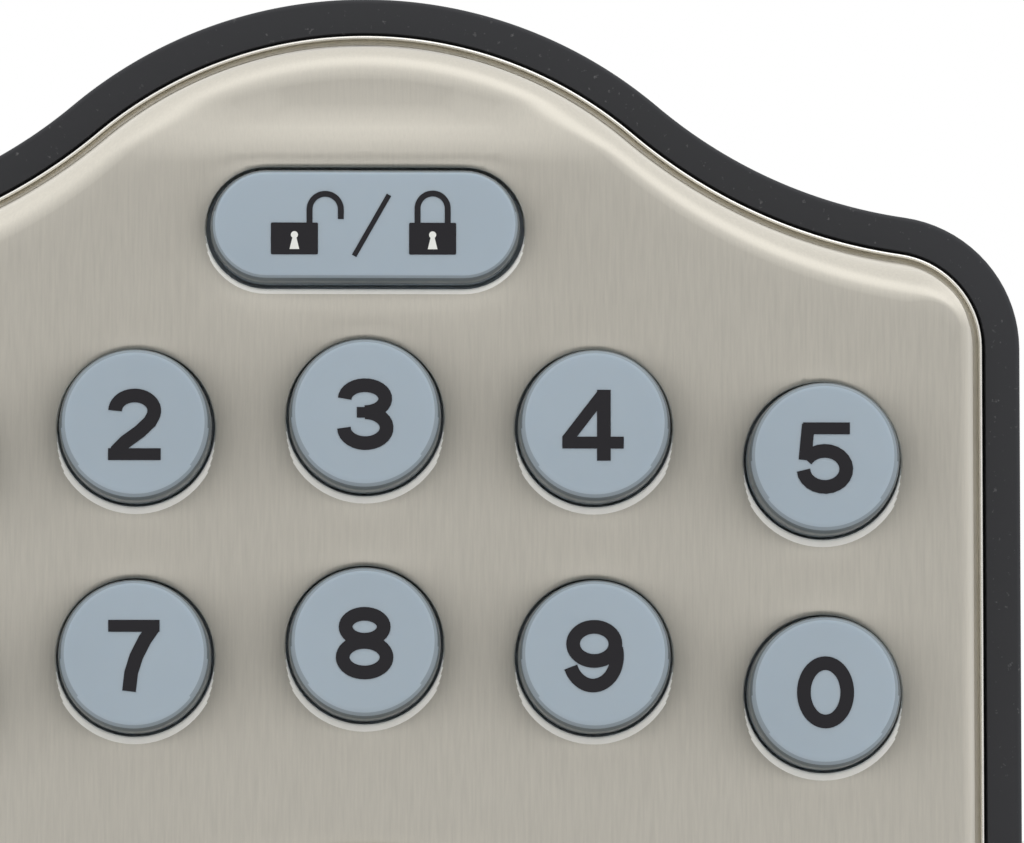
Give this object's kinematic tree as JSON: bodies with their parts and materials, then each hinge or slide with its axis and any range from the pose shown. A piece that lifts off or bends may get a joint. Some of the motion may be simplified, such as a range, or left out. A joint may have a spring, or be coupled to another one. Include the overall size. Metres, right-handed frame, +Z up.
{
  "type": "keypad smart lock",
  "caption": "Motorised door deadbolt with a crowned number-key plate, key override in a free-turning collar, bolt latch and battery unit with thumb-turn.",
  "frame": {"origin": "spindle axis where it crosses the door's outside face", "axes": "+X towards the door's bolt edge (right, seen from outside), +Y through the door to the inside, +Z up"},
  "size_m": [0.1232, 0.1297, 0.1174],
  "materials": {
    "black_rubber": "matt moulded",
    "satin_nickel": "vertical brushed satin nickel",
    "key_plastic": "translucent light blue-grey",
    "zinc_casting": "as cast",
    "zinc_plated_steel": "zinc plated",
    "grey_silicone": "soft moulded",
    "nickel_spring": "bright",
    "circuit_board": "solder mask",
    "led_lens": "clear moulded",
    "black_chip": "moulded epoxy",
    "white_connector": "nylon",
    "nickel_plated_brass": "satin",
    "brass": "machined",
    "hardened_steel": "oiled",
    "satin_nickel_latch": "satin",
    "dark_plastic": "fine texture",
    "satin_nickel_paint": "satin metallic paint",
    "cell_jacket": "printed sleeve without marks",
    "gear_plastic": "acetal",
    "magnet": "nickel plated",
    "cable_sleeve": "sleeved"
  },
  "bodies": {
    "lock": {"battery_cells": "cell_jacket", "battery_contacts": "nickel_spring", "battery_tray": "dark_plastic", "bore_ring": "dark_plastic", "cable": "cable_sleeve", "chassis_screws": "zinc_plated_steel", "control_board": "circuit_board", "control_chips": "black_chip", "control_socket": "white_connector", "cover_screws": "zinc_plated_steel", "cylinder_housing": "nickel_plated_brass", "driver_pins": "brass", "front_cover": "satin_nickel", "gearmotor": "zinc_plated_steel", "inside_chassis": "dark_plastic", "inside_cover": "satin_nickel_paint", "inside_cover_screws": "zinc_plated_steel", "inside_plate": "zinc_plated_steel", "keypad_board": "circuit_board", "keypad_chips": "black_chip", "keypad_leds": "led_lens", "keypad_membrane": "grey_silicone", "keypad_socket": "white_connector", "latch_barrel": "satin_nickel_latch", "latch_case": "zinc_plated_steel", "latch_faceplate": "satin_nickel_latch", "outer_chassis": "zinc_casting", "pin_springs": "nickel_spring", "position_sensor": "circuit_board", "sounder": "black_chip", "switch_domes": "nickel_spring", "through_bolts": "zinc_plated_steel", "weather_gasket": "black_rubber"},
    "keycap_1": {"key_1": "key_plastic"},
    "keycap_2": {"key_2": "key_plastic"},
    "keycap_3": {"key_3": "key_plastic"},
    "keycap_4": {"key_4": "key_plastic"},
    "keycap_5": {"key_5": "key_plastic"},
    "keycap_6": {"key_6": "key_plastic"},
    "keycap_7": {"key_7": "key_plastic"},
    "keycap_8": {"key_8": "key_plastic"},
    "keycap_9": {"key_9": "key_plastic"},
    "keycap_0": {"key_0": "key_plastic"},
    "keycap_lock": {"key_lock": "key_plastic"},
    "collar": {"security_collar": "satin_nickel"},
    "plug": {"cylinder_plug": "nickel_plated_brass", "key_pins": "brass", "plug_cam": "hardened_steel"},
    "spindle": {"tailpiece": "zinc_plated_steel", "latch_hub": "hardened_steel", "spindle_gear": "gear_plastic", "position_magnet": "magnet", "thumb_turn": "satin_nickel", "turn_clip": "zinc_plated_steel"},
    "bolt": {"deadbolt": "satin_nickel_latch", "hardened_pin": "hardened_steel", "bolt_tail": "zinc_plated_steel"},
    "pinion": {"motor_pinion": "brass"},
    "battery_door": {"battery_cover": "satin_nickel_paint"}
  },
  "joints": [
    {"name": "press_1", "type": "slide", "parent": "lock", "child": "keycap_1", "axis": [0, 1, 0], "range_m": [0, 0.0008], "stiffness_N_per_m": 300},
    {"name": "press_2", "type": "slide", "parent": "lock", "child": "keycap_2", "axis": [0, 1, 0], "range_m": [0, 0.0008], "stiffness_N_per_m": 300},
    {"name": "press_3", "type": "slide", "parent": "lock", "child": "keycap_3", "axis": [0, 1, 0], "range_m": [0, 0.0008], "stiffness_N_per_m": 300},
    {"name": "press_4", "type": "slide", "parent": "lock", "child": "keycap_4", "axis": [0, 1, 0], "range_m": [0, 0.0008], "stiffness_N_per_m": 300},
    {"name": "press_5", "type": "slide", "parent": "lock", "child": "keycap_5", "axis": [0, 1, 0], "range_m": [0, 0.0008], "stiffness_N_per_m": 300},
    {"name": "press_6", "type": "slide", "parent": "lock", "child": "keycap_6", "axis": [0, 1, 0], "range_m": [0, 0.0008], "stiffness_N_per_m": 300},
    {"name": "press_7", "type": "slide", "parent": "lock", "child": "keycap_7", "axis": [0, 1, 0], "range_m": [0, 0.0008], "stiffness_N_per_m": 300},
    {"name": "press_8", "type": "slide", "parent": "lock", "child": "keycap_8", "axis": [0, 1, 0], "range_m": [0, 0.0008], "stiffness_N_per_m": 300},
    {"name": "press_9", "type": "slide", "parent": "lock", "child": "keycap_9", "axis": [0, 1, 0], "range_m": [0, 0.0008], "stiffness_N_per_m": 300},
    {"name": "press_0", "type": "slide", "parent": "lock", "child": "keycap_0", "axis": [0, 1, 0], "range_m": [0, 0.0008], "stiffness_N_per_m": 300},
    {"name": "press_lock", "type": "slide", "parent": "lock", "child": "keycap_lock", "axis": [0, 1, 0], "range_m": [0, 0.0008], "stiffness_N_per_m": 300},
    {"name": "collar_spin", "type": "hinge", "parent": "lock", "child": "collar", "pos_m": [0, -0.02, 0], "axis": [0, 1, 0], "continuous": true},
    {"name": "plug_turn", "type": "hinge", "parent": "lock", "child": "plug", "pos_m": [0, -0.02, 0], "axis": [0, 1, 0], "range_deg": [0, 90]},
    {"name": "spindle_turn", "type": "hinge", "parent": "lock", "child": "spindle", "pos_m": [0, 0.05, 0], "axis": [0, 1, 0], "range_deg": [0, 90]},
    {"name": "bolt_slide", "type": "slide", "parent": "lock", "child": "bolt", "axis": [1, 0, 0], "range_m": [-0.0254, 0]},
    {"name": "pinion_spin", "type": "hinge", "parent": "lock", "child": "pinion", "pos_m": [-0.01368, 0.051, -0.01368], "axis": [0, 1, 0], "range_deg": [-271, 0]},
    {"name": "battery_door_slide", "type": "slide", "parent": "lock", "child": "battery_door", "axis": [0, 0, 1], "range_m": [0, 0.055]}
  ],
  "couplings": [
    {"joint": "bolt_slide", "follows": "spindle_turn", "m_per_rad": -0.01616},
    {"joint": "pinion_spin", "follows": "spindle_turn", "ratio": -3}
  ]
}
